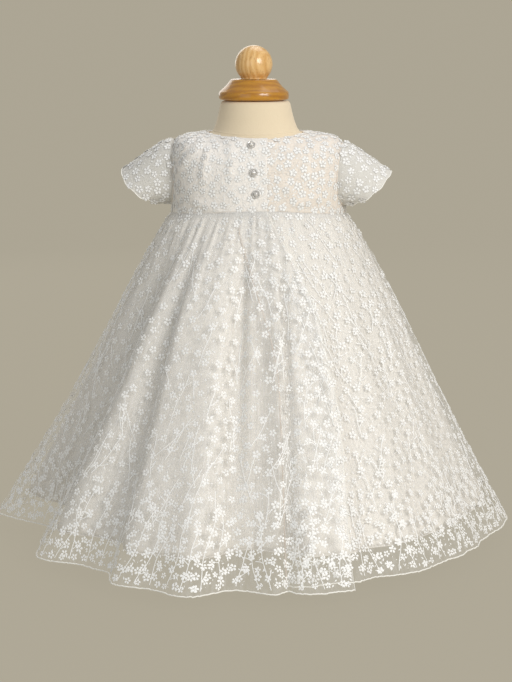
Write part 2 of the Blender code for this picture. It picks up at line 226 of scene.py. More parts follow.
Ring = namedtuple("Ring", "name side front back width front_depth back_depth square shift")
FORM_RINGS = [
    Ring("neck_rim", 419.8, 419.8, 419.8, 30.5, 30.0, 30.0, 2.0, -0.5),
    Ring("neck_edge", 417.4, 417.4, 417.4, 32.8, 32.2, 32.2, 2.0, -0.5),
    Ring("neck_middle", 409.0, 409.0, 409.0, 34.8, 34.2, 34.2, 2.0, -0.5),
    Ring("neck_low", 399.0, 398.0, 399.0, 37.6, 36.6, 37.0, 2.0, -0.3),
    Ring("neck_base", 390.8, 387.5, 390.6, 42.2, 40.6, 41.6, 2.0, 0.0),
    Ring("shoulder_inner", 388.2, 380.5, 385.5, 54.0, 46.0, 46.5, 2.05, 0.5),
    Ring("shoulder_middle", 386.6, 373.0, 379.0, 66.0, 50.5, 49.5, 2.15, 1.0),
    Ring("shoulder_outer", 382.8, 365.0, 370.5, 75.2, 53.6, 51.6, 2.35, 2.0),
    Ring("arm_top", 374.0, 356.5, 360.0, 78.8, 56.0, 53.0, 2.6, 2.5),
    Ring("arm_middle", 354.0, 345.0, 347.0, 79.4, 57.8, 54.0, 2.75, 2.5),
    Ring("arm_low", 335.0, 335.0, 335.0, 79.6, 59.0, 54.6, 2.6, 2.5),
    Ring("underarm", 323.0, 327.0, 324.5, 80.0, 59.7, 55.0, 2.4, 2.5),
    Ring("waist", 314.0, 319.5, 316.0, 80.6, 60.2, 55.3, 2.3, 2.5),
    Ring("belly", 272.0, 272.0, 272.0, 81.0, 62.5, 56.5, 2.2, 2.0),
    Ring("hip", 214.0, 214.0, 214.0, 82.0, 60.0, 60.0, 2.2, 1.0),
    Ring("seat", 164.0, 164.0, 164.0, 76.0, 54.0, 56.0, 2.2, 0.0),
    Ring("seat_low", 140.0, 140.0, 140.0, 64.0, 46.0, 47.0, 2.1, 0.0),
    Ring("foot_edge", 128.0, 128.0, 128.0, 50.0, 37.0, 37.0, 2.0, 0.0),
    Ring("foot", 125.0, 125.0, 125.0, 43.0, 31.0, 31.0, 2.0, 0.0),
]
NECKLINE = 4.3
ARMHOLE_TOP = 7.45
ARMHOLE_BOTTOM = 11.15
WAIST = 12.0
ARMHOLE_BEARINGS = 20.5
DRESS_TURN = -6.0
LEFT_SIDE = 90 + DRESS_TURN
RIGHT_SIDE = -90 + DRESS_TURN
NECK_SEAM = 3.75
NECK_SEAM_HEIGHT = 0.35 * MM
NECK_SEAM_SPREAD = 0.05
JERSEY_COLOUR = (0.85, 0.725, 0.53)
JERSEY_SHADE = (0.79, 0.66, 0.47)


def smooth(value):
    value = np.clip(value, 0.0, 1.0)
    return value * value * (3 - 2 * value)


def ease_out(value):
    value = np.clip(value, 0.0, 1.0)
    return value * (2 - value)


def mix(a, b, share):
    return a + (b - a) * share


def through_rings(station, column):
    """One column of the ring table at stations between rings, on a smooth curve."""
    values = np.array([getattr(ring, column) for ring in FORM_RINGS])
    last = len(values) - 1
    low = np.minimum(np.asarray(station, float).astype(int), last - 1)
    share = station - low
    before, start, end, after = (values[np.clip(low + k, 0, last)] for k in (-1, 0, 1, 2))
    slope_in, slope_out = (end - before) / 2, (after - start) / 2
    slope_in = np.where((end - start) * slope_in < 0, 0, slope_in)
    slope_out = np.where((end - start) * slope_out < 0, 0, slope_out)
    s2, s3 = share**2, share**3
    leaving = (2 * s3 - 3 * s2 + 1) * start + (s3 - 2 * s2 + share) * slope_in
    return leaving + (3 * s2 - 2 * s3) * end + (s3 - s2) * slope_out


def oval_radius(bearing, half_width, front_depth, back_depth, square=2.0):
    across, along = np.sin(np.radians(bearing)), np.cos(np.radians(bearing))
    depth = np.where(along > 0, front_depth, back_depth)
    return (np.abs(across / half_width) ** square + np.abs(along / depth) ** square) ** (-1 / square)


def round_axis(bearing, radius, height):
    angle = np.radians(bearing)
    return np.stack(np.broadcast_arrays(radius * np.sin(angle), -radius * np.cos(angle), height), -1)


def form_point(station, bearing):
    columns = ("width", "front_depth", "back_depth", "square", "shift", "side", "front", "back")
    width, front, back, square, shift, side, front_z, back_z = (through_rings(station, c) for c in columns)
    along = np.cos(np.radians(bearing))
    height = mix(side, np.where(along > 0, front_z, back_z), along**2)
    point = round_axis(bearing, oval_radius(bearing, width, front, back, square) * MM, height * MM)
    point[..., 0] += shift * MM
    return point


def on_form(station, bearing, offset):
    """Points that lie offset outside the form's surface."""
    step, swing = 0.02, 0.2
    down = form_point(station + step, bearing) - form_point(station - step, bearing)
    round_ring = form_point(station, bearing + swing) - form_point(station, bearing - swing)
    normal = np.cross(down, round_ring)
    normal /= np.linalg.norm(normal, axis=-1, keepdims=True)
    point = form_point(station, bearing)
    outward = np.sign(normal[..., 0] * point[..., 0] + normal[..., 1] * point[..., 1])
    return point + normal * (outward * offset)[..., None]


def bearing_at_x(station, across):
    """The bearing on the front of the form where it is that far across."""
    low, high = np.full(np.shape(station), -80.0), np.full(np.shape(station), 80.0)
    for _ in range(30):
        middle = (low + high) / 2
        short = form_point(station, middle)[..., 0] < across
        low, high = np.where(short, middle, low), np.where(short, high, middle)
    return (low + high) / 2


def surface(name, vertices, faces, finish, edges=()):
    """A new smooth piece from its vertices and faces, in its material."""
    mesh = bpy.data.meshes.new(name)
    mesh.from_pydata(vertices, edges, faces)
    mesh.shade_smooth()
    mesh.materials.append(finish.material)
    piece = bpy.data.objects.new(name, mesh)
    bpy.context.scene.collection.objects.link(piece)
    return piece


def sheet_of(name, points, finish, closed=False, uv=None, caps=False):
    """A surface through a grid of points, rows from the top down and columns from the left."""
    rows, columns = points.shape[:2]
    index = np.arange(rows * columns).reshape(rows, columns)
    right = np.roll(index, -1, 1) if closed else index[:, 1:]
    here = index if closed else index[:, :-1]
    faces = np.stack([here[:-1], here[1:], right[1:], right[:-1]], -1).reshape(-1, 4).tolist()
    if caps:
        faces += [index[0].tolist(), index[-1][::-1].tolist()]
    piece = surface(name, points.reshape(-1, 3).tolist(), faces, finish)
    if uv is not None:
        corners = np.empty(len(piece.data.loops), int)
        piece.data.loops.foreach_get("vertex_index", corners)
        layer = piece.data.uv_layers.new(name="cloth")
        layer.data.foreach_set("uv", uv.reshape(-1, 2)[corners].ravel())
    return piece


def fix_on(piece, node=None):
    """Fixes a finished piece to the one body and in place of the solid it stands for."""
    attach(piece, "root")
    if node:
        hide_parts(node)


jersey = Finish("form jersey", JERSEY_COLOUR, 0.85, Sheen_Weight=0.25, Sheen_Roughness=0.5,
                Specular_IOR_Level=0.25)
place = jersey.node("TexCoord", output=3)
knit = jersey.noise(jersey.stretched(place, (1.0, 1.0, 0.25)), 1500.0)
cloud = jersey.noise(place, 40.0, 3.0)
jersey.feed("Base Color", jersey.blend(knit * 0.6 + cloud * 0.4, JERSEY_SHADE, JERSEY_COLOUR))
jersey.bump(knit, 0.0003, 0.5)

neck, seam_rows, body = np.linspace(0, 3.6, 28), np.linspace(3.64, 3.86, 9), np.linspace(3.95, 18, 110)
stations = np.concatenate([neck, seam_rows, body])[:, None]
bearings = np.linspace(0, 360, 128, endpoint=False)[None, :]
seam = NECK_SEAM_HEIGHT * np.exp(-(((stations - NECK_SEAM) / NECK_SEAM_SPREAD) ** 2))
torso_points = on_form(np.clip(stations, 0.02, 17.98), bearings, seam + 0 * bearings)
fix_on(sheet_of("torso", torso_points, jersey, closed=True, caps=True), "form_torso")


# The wooden cap, ball, post and base
# Turned from one pale hardwood and varnished. The cap closes the neck, the ball is its handle,
# and the plain post and base stand under the skirt. Outlines are (radius, height) in mm.

WOOD_X = -2.0 * MM
SEAM_GAP = 0.3 * MM
CAP_OUTLINE = [(0, 20.0), (20.4, 20.0), (21.6, 19.6), (22.6, 18.4), (26.5, 13.6), (31.6, 9.0), (32.6, 8.0),
               (33.0, 6.4), (33.0, 3.2), (32.6, 1.8), (31.6, 0.9), (28.0, 0.9), (28.0, 0.0), (0, 0)]
BALL_RADIUS = 17.6
BALL_TOP = 471.6
BALL_FOOT_RADIUS = 12.6
BASE_OUTLINE = [(0, 13.0), (50, 13.0), (56, 11.8), (60, 8.0), (60, 2.0), (58, 0.0), (0, 0)]
POST_OUTLINE = [(0, 111.4), (26, 111.4), (27, 109.5), (26, 106.5), (12, 101.0), (9.5, 94.0), (9.5, 12.0),
                (14.0, 3.5), (20.0, 2.0), (20.0, 0.0), (0, 0)]
WOOD_LIGHT = (0.61, 0.29, 0.02)
WOOD_DARK = (0.38, 0.145, 0.006)
BALL_LIGHT = (0.92, 0.61, 0.27)
BALL_DARK = (0.66, 0.35, 0.095)
WOOD_GRAIN = (0.30, 0.13, 0.035)


def turned(name, outline, foot, x, finish, node, eased=0.5 * MM):
    """A body turned on an upright lathe from its outline, with its edges eased."""
    points = [(radius * MM, 0, height * MM) for radius, height in outline]
    piece = surface(name, points, [], finish, [(k, k + 1) for k in range(len(points) - 1)])
    apply_modifier(piece, "turned", "SCREW", axis="Z", steps=96, render_steps=96, use_merge_vertices=True,
                   merge_threshold=0.00002)
    if eased:
        apply_modifier(piece, "eased", "BEVEL", width=eased, segments=3, limit_method="ANGLE",
                       angle_limit=0.35)
    pick(piece)
    bpy.ops.object.mode_set(mode="EDIT")
    bpy.ops.mesh.select_all(action="SELECT")
    bpy.ops.mesh.normals_make_consistent(inside=False)
    bpy.ops.object.mode_set(mode="OBJECT")
    bpy.ops.object.shade_smooth_by_angle(angle=math.radians(40))
    piece.select_set(False)
    for vertex in piece.data.vertices:
        vertex.co.x += x
        vertex.co.z += foot
    fix_on(piece, node)
    return piece


def wood_finish(name, light, dark, upright=False):
    """Varnished hardwood: wavering bands of darker late wood, and short dark pores along the grain."""
    wood = Finish(name, light, 0.32, Coat_Weight=0.6, Coat_Roughness=0.12)
    place = wood.node("TexCoord", output=3)
    lay = (0.1, 0.08, 0.5) if upright else (0.2, 0.25, 0.5)
    grain, fleck = ((1, 1, 0.2), (1, 1, 0.1)) if upright else ((0.16, 1, 1), (0.08, 1, 1))
    lie = {"Vector": place, "Rotation": lay}
    along = wood.node("Mapping", None, {**lie, "Location": (0.11, 0.03, 0.0), "Scale": grain})
    waver = wood.noise(along, 55.0, 3.0)
    waves = {"Vector": along, "Scale": 62.0, "Distortion": 6.0, "Detail": 2.0, "Detail Scale": 1.2}
    bands = wood.node("TexWave", {"wave_type": "BANDS", "bands_direction": "X" if upright else "Z"}, waves, 1)
    pores = wood.noise(wood.node("Mapping", None, {**lie, "Scale": fleck}), 1400.0, 1.0)
    tone = wood.blend(bands * 0.55 + waver * 0.5, light, dark)
    wood.feed("Base Color", wood.blend((pores > 0.62) * 0.45, tone, WOOD_GRAIN))
    wood.bump(pores, 0.0001, 0.25)
    return wood


cap_wood = wood_finish("turned wood", WOOD_LIGHT, WOOD_DARK)
ball_wood = wood_finish("pale turned wood", BALL_LIGHT, BALL_DARK, upright=True)

cap_foot = FORM_RINGS[0].side * MM + SEAM_GAP
ball_foot = cap_foot + CAP_OUTLINE[0][1] * MM + SEAM_GAP
ball_centre = BALL_TOP - BALL_RADIUS - ball_foot / MM
ball_angles = np.radians(np.linspace(0, 132, 34))
ball_outline = [(BALL_RADIUS * math.sin(a), ball_centre + BALL_RADIUS * math.cos(a)) for a in ball_angles]
ball_outline += [(BALL_FOOT_RADIUS, 0.9), (BALL_FOOT_RADIUS, 0.0), (0, 0)]
turned("cap", CAP_OUTLINE, cap_foot, WOOD_X, cap_wood, "neck_cap")
turned("ball", ball_outline, ball_foot, WOOD_X, ball_wood, "finial_ball", eased=0)
turned("base", BASE_OUTLINE, 0.0, 0.0, cap_wood, "stand_base")
turned("post", POST_OUTLINE, BASE_OUTLINE[0][1] * MM + SEAM_GAP, 0.0, cap_wood, "stand_post")


# The skirt lining
# A plain flared tube of cream lawn, gathered with the net into the waist seam and hemmed shorter
# than it. It hangs inside the net's folds and falls into a deep hollow under the closure.

FORM_CLEARANCE = 0.9 * MM
LINING_WALL = 1.0 * MM
NET_WALL = 1.0 * MM
BODICE_WALL = 1.4 * MM
LAYER_STEP = 0.4 * MM
HEM_HEIGHT = 15 * MM
LINING_HEM_HEIGHT = 37 * MM
PLACKET_EDGE_X = 10 * MM
UNDERLAP_EDGE_X = -18 * MM
HEM_HALF_WIDTH = 234 * MM
HEM_FRONT_DEPTH = 230 * MM
HEM_BACK_DEPTH = 231 * MM
Fold = namedtuple("Fold", "name waist hem depth spread growth")
FRONT_RIGHT_FOLDS = [
    Fold("left_flare", -98, -94.5, 25, 7, 2.2),
    Fold("left_hollow", -55, -76.5, -28, 14, 1),
    Fold("left_front_hollow", -39, -45, -12, 6, 1),
    Fold("left_front_slope", -22, -26, 11, 7.5, 1),
    Fold("front_flare", -16, -12.5, 30, 7.5, 1),
    Fold("front_hollow", -10, -3.5, -8, 4, 1),
    Fold("lap_flare", 12, 13.5, 20, 14.5, 1),
]
FRONT_LEFT_FOLDS = [
    Fold("right_front_hollow", 24, 21.5, -6, 7.5, 1),
    Fold("right_soft_hollow", 44, 41, -6, 8.5, 1),
    Fold("right_side_hollow", 66, 63.5, -10, 11, 1),
    Fold("right_side_flare", 90, 90, 9, 7.5, 1),
]
BACK_FOLDS = [
    Fold("right_rear_hollow", 106, 105, -13, 7, 1),
    Fold("right_rear_flare", 119, 120, 18, 8, 1),
    Fold("back_right_hollow", 131, 134, -17, 6, 1),
    Fold("back_right_flare", 145, 148, 24, 7, 1),
    Fold("back_middle_hollow", 160, 163, -15, 7, 1),
    Fold("back_middle_flare", 176, 179, 20, 8, 1),
    Fold("back_left_hollow", -166, -164, -18, 6, 1),
    Fold("back_left_flare", -151, -149, 23, 7.5, 1),
    Fold("left_back_hollow", -136, -135, -16, 6, 1),
    Fold("left_back_flare", -124, -122, 10, 7, 1),
    Fold("left_rear_hollow", -110, -108, -14, 6, 1),
]
LINING_HOLLOW = Fold("lining_front_hollow", 0, 1, -30, 8, 1)
LINING_RIDGE_SHARE = 0.5
LINING_INSET_AT_HEM = 6.5 * MM
Crease = namedtuple("Crease", "name waist hem height left right start")
CREASES = [
    Crease("side_groove", -56.0, -76.0, -9.0, 8.0, 5.0, 0.0),
    Crease("second_ridge", -44.0, -54.0, 11.0, 4.4, 9.0, 0.0),
    Crease("second_groove", -39.0, -34.5, -8.0, 5.0, 1.9, 0.0),
    Crease("front_ridge", -34.5, -29.0, 9.0, 2.4, 10.0, 0.0),
    Crease("front_groove", -9.0, -7.0, -6.0, 4.0, 2.0, 0.0),
    Crease("front_rib", -2.0, -2.6, 4.2, 1.9, 3.2, 0.0),
    Crease("lap_ridge", 9.0, 3.0, 4.6, 3.2, 2.2, 0.0),
    Crease("lap_groove", 14.0, 6.2, -6.5, 0.9, 1.4, 0.0),
    Crease("soft_rib", 30.0, 22.0, 3.4, 3.6, 2.4, 0.05),
    Crease("soft_groove", 36.0, 27.5, -3.4, 2.2, 3.6, 0.05),
    Crease("mid_rib", 45.0, 40.0, 3.2, 4.6, 3.0, 0.05),
    Crease("mid_groove", 54.0, 50.0, -3.4, 3.0, 4.0, 0.05),
    Crease("side_rib", 64.0, 62.0, 3.2, 4.0, 3.6, 0.05),
    Crease("rear_groove", 74.0, 73.0, -3.0, 3.2, 3.2, 0.1),
    *[Crease(f"back_{k}", 97 + 12.5 * k, 96 + 12.6 * k, (4.0, -3.6)[k % 2], 2.2, 4.4, 0.05)
      for k in range(13)],
]
GATHER = 0.8 * MM
WAIST_PUFF = 0.8 * MM
HEM_RIPPLE = 0.9 * MM
LINING_COLOUR = (0.885, 0.848, 0.79)
# Darker lawn for the low streaks of the fine creases: painted shade.
LINING_SHADE = (0.83, 0.795, 0.74)
SKIRT_CUT_LENGTH = 0.345
CLOTH_RADIUS = 0.2
LINING_THICKNESS = 0.5 * MM
LINING_HEM_ROLL = 0.55 * MM
LINING_TUCK = 0.8 * MM
ALL_FOLDS = FRONT_RIGHT_FOLDS + FRONT_LEFT_FOLDS + BACK_FOLDS


def turn(bearing, centre):
    return (bearing - centre + 180) % 360 - 180


def fold_height(fold, bearing, fall):
    away = turn(bearing, mix(fold.waist, fold.hem, fall)) / fold.spread
    return fold.depth * MM * fall**fold.growth * np.exp(-(away**2))


def fullness(fall):
    """How far the gathers hold the skirt out beyond a straight line, as a share of its spread."""
    return 0.1 * np.sin(np.pi * fall) * (1 - fall) ** 3


def skirt_point(bearing, fall, folds, ridge_share=1.0, inset=0.0, offset=0.0):
    """Points of the skirt: fall is 0 at the waist seam and 1 at the net's hem."""
    bearing, fall, offset = np.broadcast_arrays(bearing, fall, offset)
    top = on_form(np.full(bearing.shape, WAIST), bearing, offset)
    hem_radius = oval_radius(bearing, HEM_HALF_WIDTH, HEM_FRONT_DEPTH, HEM_BACK_DEPTH) + offset - inset
    hem = round_axis(bearing, hem_radius, HEM_HEIGHT)
    out = fullness(fall) * (hem_radius - np.hypot(top[..., 0], top[..., 1]))
    for fold in folds:
        share = ridge_share if fold.depth > 0 else 1.0
        out = out + share * fold_height(fold, bearing, fall)
    return mix(top, hem, fall[..., None]) + round_axis(bearing, out, 0 * out)


def crease_height(bearing, fall, ribs=1.0):
    """Small creases and the gathers under the waist seam, in metres outwards."""
    height = 0 * bearing * fall
    for crease in CREASES:
        away = turn(bearing, mix(crease.waist, crease.hem, fall))
        away = away / np.where(away < 0, crease.left, crease.right) * (0.3 + 0.7 * fall) ** 0.5
        rise = (ribs if crease.height > 0 else 1.0) * crease.height * MM
        height = height + rise * smooth((fall - crease.start) / 0.35) * np.exp(-(away**2))
    angle = np.radians(bearing)
    gather = np.sin(angle * 47 + 1.7 * np.sin(angle * 9)) + 0.5 * np.sin(angle * 83 + 2.0)
    height = height + GATHER * gather * smooth(fall / 0.03) * np.exp(-fall / 0.2)
    height = height + WAIST_PUFF * smooth(fall / 0.014) * np.exp(-fall / 0.1)
    ripple = np.sin(angle * 31 + 2.2 * np.sin(angle * 5))
    return height + HEM_RIPPLE * ripple * smooth((fall - 0.55) / 0.45)


def normals_of(points, closed=False):
    """The outward direction at each point of a grid."""
    if closed:
        across = np.roll(points, -1, 1) - np.roll(points, 1, 1)
    else:
        across = np.gradient(points, axis=1)
    normal = np.cross(np.gradient(points, axis=0), across)
    return normal / np.maximum(np.linalg.norm(normal, axis=-1, keepdims=True), 1e-12)


def tube_along(name, path, radius, finish, closed=False):
    """A round roll of cloth or thread along a path of points."""
    curve = bpy.data.curves.new(name, "CURVE")
    curve.dimensions = "3D"
    curve.bevel_depth, curve.bevel_resolution, curve.use_fill_caps = radius, 2, True
    line = curve.splines.new("POLY")
    line.points.add(len(path) - 1)
    line.points.foreach_set("co", np.c_[path, np.ones(len(path))].ravel())
    line.use_cyclic_u = closed
    roll = bpy.data.objects.new(name, curve)
    bpy.context.scene.collection.objects.link(roll)
    pick(roll)
    bpy.ops.object.convert(target="MESH")
    roll = bpy.context.object
    roll.data.shade_smooth()
    roll.data.materials.clear()
    roll.data.materials.append(finish.material)
    roll.select_set(False)
    return roll


def rolled(slot, *roll):
    """A roll along an edge, fixed on to the one body; its slot is not used."""
    piece = tube_along(*roll)
    fix_on(piece)
    return piece


def area_of(points, closed=False):
    """The area of a grid of points, for the size that a cloth was cut to."""
    if closed:
        points = np.concatenate([points, points[:, :1]], 1)
    a, b, c, d = points[:-1, :-1], points[1:, :-1], points[1:, 1:], points[:-1, 1:]
    return float(np.linalg.norm(np.cross(c - a, d - b), axis=-1).sum() / 2)


def cloth_map(bearing, fall):
    """Where each point of the skirt lies on its flat cloth, in metres."""
    return np.stack(np.broadcast_arrays(np.radians(bearing) * CLOTH_RADIUS, -fall * SKIRT_CUT_LENGTH), -1)


lawn = Finish("lining lawn", LINING_COLOUR, 0.5, Sheen_Weight=0.2, Sheen_Roughness=0.4,
              Specular_IOR_Level=0.3)
place = lawn.node("UVMap", {"uv_map": "cloth"})
# This streak noise both bumps the lawn and darkens its low streaks towards LINING_SHADE: painted shade in the
# fine creases.
drape_and_shade = lawn.noise(lawn.stretched(place, (60.0, 7.0, 1.0)), 1.0, 3.0)
weave = lawn.noise(place, 2500.0, 1.0)
lawn.feed("Base Color", lawn.blend(drape_and_shade, LINING_SHADE, LINING_COLOUR))
lawn.bump(drape_and_shade * 4.0 + weave * 0.4, 0.0006, 0.4)

waist_height = float(form_point(np.array(WAIST), np.array(90.0))[2])
lining_fall = (waist_height - LINING_HEM_HEIGHT) / (waist_height - HEM_HEIGHT)
falls = np.concatenate([[0.0, 0.0, 0.004, 0.009], np.linspace(0.0157, lining_fall, 59)])[:, None]
bearings = np.linspace(0, 360, 640, endpoint=False)[None, :]
lining_offset = FORM_CLEARANCE + LINING_WALL * (0.4 + 0.5 * smooth(falls / 0.04))
lining_points = skirt_point(bearings, falls, [*ALL_FOLDS, LINING_HOLLOW], LINING_RIDGE_SHARE,
                            LINING_INSET_AT_HEM, lining_offset)
lining_points += round_axis(bearings, crease_height(bearings, falls, 0.85), 0.0)
lining_points[0] = on_form(WAIST - 0.5 + 0 * bearings[0], bearings[0], LINING_TUCK + 0 * bearings[0])
lining = sheet_of("lining", lining_points, lawn, closed=True, uv=cloth_map(bearings, falls))
apply_modifier(lining, "cloth", "SOLIDIFY", thickness=LINING_THICKNESS, offset=0.0)
fix_on(lining, "skirt_lining")
lining_roll = rolled("lining", "lining_hem", lining_points[-1], LINING_HEM_ROLL, lawn, True)
area_of(lining_points, True)


# The net skirt
# Three gathered panels of embroidered net over the lining: the right front laps over the left
# front and keeps a free edge, and the back joins both at the sides. The edges are rolled hems.

NET_COLOUR = (0.96, 0.955, 0.94)
NET_COVER_LOW = 0.10
NET_COVER_HIGH = 0.46
HEM_COVER = 0.5
GATHERED_COVER = 0.3
NET_SHEEN = {"Sheen_Weight": 0.3, "Sheen_Roughness": 0.4, "Specular_IOR_Level": 0.3}
THREAD_COLOUR = (0.97, 0.967, 0.955)
ROLL_COLOUR = (0.96, 0.94, 0.885)
# Grey of the discs under the flowers: painted shade that outlines the petals.
FLOWER_SHADE_COLOUR = (0.68, 0.66, 0.635)
# Tan of the underlapping panel's rolled free edge: a painted shadow of the narrow slot beside it.
UNDERLAP_SHADOW_COLOUR = (0.74, 0.65, 0.56)
HEM_ROLL = 0.62 * MM
HEM_WAVER = 0.22 * MM
LAP_ROLL = 0.25 * MM
UNDERLAP_ROLL = 0.7 * MM
NET_OVER_BODICE = 0.45 * MM


def lap_edge(fall):
    """Bearing of the overlapping front panel's free edge."""
    at_waist = bearing_at_x(np.full(np.shape(fall), WAIST), PLACKET_EDGE_X)
    return mix(at_waist, 25.5, ease_out(fall / 0.3)) - 6 * smooth((fall - 0.45) / 0.55)


def underlap_edge(fall):
    """Bearing of the underlapping front panel's free edge."""
    at_waist = bearing_at_x(np.full(np.shape(fall), WAIST), UNDERLAP_EDGE_X)
    return mix(at_waist, 8.0, ease_out(fall / 0.5)) - 1.3 * fall


def lap_rise(past_edge):
    """How far a lapping piece has risen, so many degrees past the edge that it covers."""
    return smooth((past_edge + 14) / 7)


class Panel:
    """A cloth panel as a grid of points that thread can be laid on."""

    def __init__(self, name, points, closed=False):
        self.name, self.points, self.closed = name, points, closed
        self.normals = normals_of(points, closed)
        self.rows, self.columns = points.shape[:2]

    def inside(self, row, column, margin=0.0):
        across = self.closed or margin <= column <= self.columns - 1 - margin
        return margin <= row <= self.rows - 1 - margin and across

    def at(self, row, column):
        """The point, outward direction and both steps of the grid at a place on it."""
        row = min(max(row, 0), self.rows - 1.001)
        column = column % self.columns if self.closed else min(max(column, 0), self.columns - 1.001)
        i, j = int(row), int(column)
        v, u = row - i, column - j
        k = (j + 1) % self.columns
        (p00, p01), (p10, p11) = self.points[i, [j, k]], self.points[i + 1, [j, k]]
        point = (1 - v) * ((1 - u) * p00 + u * p01) + v * ((1 - u) * p10 + u * p11)
        normal = self.normals[i, j] if v < 0.5 else self.normals[i + 1, j]
        return point, normal, mix(p10 - p00, p11 - p01, u), mix(p01 - p00, p11 - p10, v)

    def step(self, row, column, heading, length):
        """Where a step of a length leads, with heading 0 down the panel and 90 to its right."""
        _, _, down, across = self.at(row, column)
        angle = math.radians(heading)
        return (row + math.cos(angle) * length / max(np.linalg.norm(down), 1e-6),
                column + math.sin(angle) * length / max(np.linalg.norm(across), 1e-6))


def bodice_middle(past_edge, lapped):
    """How far the middle of the bodice's wall stands off the form, by degrees past the edge it laps."""
    rise = (BODICE_WALL + LAYER_STEP) * smooth((past_edge + 20) / 19)
    return FORM_CLEARANCE + BODICE_WALL * 0.75 + rise * lapped


def net_panel(name, start, end, columns, folds, lapped):
    falls = np.concatenate([[0.0, 0.004], np.linspace(0.0125, 1.0, 76)])[:, None]
    share = np.linspace(0.0, 1.0, columns)[None, :]
    first, last = start(falls), end(falls)
    bearing = mix(first, last, share)
    offset = FORM_CLEARANCE + LINING_WALL + LAYER_STEP + NET_WALL * 0.3
    if lapped:
        offset = offset + (NET_WALL + LAYER_STEP) * lap_rise(bearing - underlap_edge(falls))
    points = skirt_point(bearing, falls, folds, offset=offset)
    points = points + round_axis(bearing, crease_height(bearing, falls), 0.0)
    top = bodice_middle(bearing[0] - underlap_edge(np.zeros(1))[0], lapped) + NET_OVER_BODICE
    points[0] = on_form(WAIST - 0.08 + 0 * bearing[0], bearing[0], top)
    return Panel(name, points), cloth_map(bearing, falls)


def vines(cloth, place, scale):
    """Fine curling threads, which lie where a noise passes through its middle value."""
    away = cloth.noise(place, scale, 2.0, 1.4) - 0.5
    limits = {"Value": away * away, "From Min": 0.0002, "From Max": 0.0016}
    return 1 - cloth.node("MapRange", {"interpolation_type": "SMOOTHSTEP"}, limits)


def ramp(cloth, value, start, end, low, high):
    limits = {"Value": value, "From Min": start, "From Max": end, "To Min": low, "To Max": high}
    return cloth.node("MapRange", None, limits)


net = Finish("embroidered net", NET_COLOUR, 0.6, **NET_SHEEN)
place = net.node("UVMap", {"uv_map": "cloth"})
streaks = net.noise(net.stretched(place, (260.0, 9.0, 1.0)), 1.0, 2.0, 0.6)
strands = net.noise(net.stretched(place, (900.0, 40.0, 1.0)), 1.0)
vine = vines(net, place, 210.0)
strand = net.node("MapRange", {"interpolation_type": "SMOOTHSTEP"},
                  {"Value": strands, "From Min": 0.46, "From Max": 0.62})
cover = streaks * 0.35 + strand * 0.45 + vine * 0.45
height = net.node("SeparateXYZ", None, {"Vector": place}, 1)
hem_share = ramp(net, height, -0.27, -0.31, 1.0, HEM_COVER)
gathered = ramp(net, height, -0.0035, -0.0005, 0.0, GATHERED_COVER)
under_lap = net.node("Attribute", {"attribute_name": "under_lap"}, None, 2)
cover = (cover * (NET_COVER_HIGH - NET_COVER_LOW) + NET_COVER_LOW) * hem_share
net.feed("Alpha", cover * (1 - under_lap * 0.6) + gathered)
net.bump(streaks + strand * 0.8 + vine * 0.6, 0.0002, 0.5)

thread = Finish("embroidery thread", THREAD_COLOUR, 0.42, Sheen_Weight=0.35, Sheen_Roughness=0.35)
flower_shade = Finish("net drawn in by stitches", FLOWER_SHADE_COLOUR, 0.7, Sheen_Weight=0.2)
roll_cloth = Finish("rolled edge", ROLL_COLOUR, 0.55, Sheen_Weight=0.2)
underlap_shadow_roll = Finish("stitched edge under the lap", UNDERLAP_SHADOW_COLOUR, 0.7, Sheen_Weight=0.2)


def side_seam(bearing):
    return lambda fall: bearing + 0 * fall


skirt_right, right_uv = net_panel("net_front_right", side_seam(RIGHT_SIDE), lap_edge, 300,
                                  FRONT_RIGHT_FOLDS + BACK_FOLDS, True)
skirt_left, left_uv = net_panel("net_front_left", underlap_edge, side_seam(LEFT_SIDE), 190,
                                FRONT_LEFT_FOLDS + BACK_FOLDS, False)
skirt_back, back_uv = net_panel("net_back", side_seam(LEFT_SIDE), side_seam(360 + RIGHT_SIDE), 320,
                                ALL_FOLDS, False)
draw = np.random.default_rng(11)
NetPiece = namedtuple("NetPiece", "panel uv node flat edges finish")
NET_PIECES = [
    NetPiece(skirt_right, right_uv, "skirt_net_front_right", (0.62, 0.35), ("hem", "last"), net),
    NetPiece(skirt_left, left_uv, "skirt_net_front_left", (0.42, 0.35), ("hem", "first"), net),
    NetPiece(skirt_back, back_uv, "skirt_net_back", (0.95, 0.35), ("hem",), net),
]
for part in NET_PIECES:
    piece = sheet_of(part.panel.name, part.panel.points, net, uv=part.uv)
    if part.panel is skirt_left:
        heights, bearings = -part.uv[..., 1] / SKIRT_CUT_LENGTH, np.degrees(part.uv[..., 0] / CLOTH_RADIUS)
        layer = piece.data.attributes.new("under_lap", "FLOAT", "POINT")
        layer.data.foreach_set("value", smooth((lap_edge(heights) - bearings) / 5).ravel())
    fix_on(piece, part.node)
    points, rolls = part.panel.points, []
    for edge in part.edges:
        wavering = draw.normal(0, HEM_WAVER, (part.panel.columns, 3))
        path = {"hem": points[-1] + wavering, "first": points[4:, 0], "last": points[:, -1]}[edge]
        radius = {"hem": HEM_ROLL, "last": LAP_ROLL, "first": UNDERLAP_ROLL}[edge]
        # The underlap's free edge roll takes the painted-shadow tan, and the other rolls take the plain roll
        # colour.
        finish = underlap_shadow_roll if edge == "first" else roll_cloth
        rolls.append(rolled("embroidered_net", f"{part.panel.name}_{edge}_roll", path, radius, finish))
    area_of(part.panel.points)


# The embroidery
# White thread: five-petalled flowers on curving stems, with leaves and seed stitches between
# them. The sprigs stand close along the hem and thin out towards the waist.

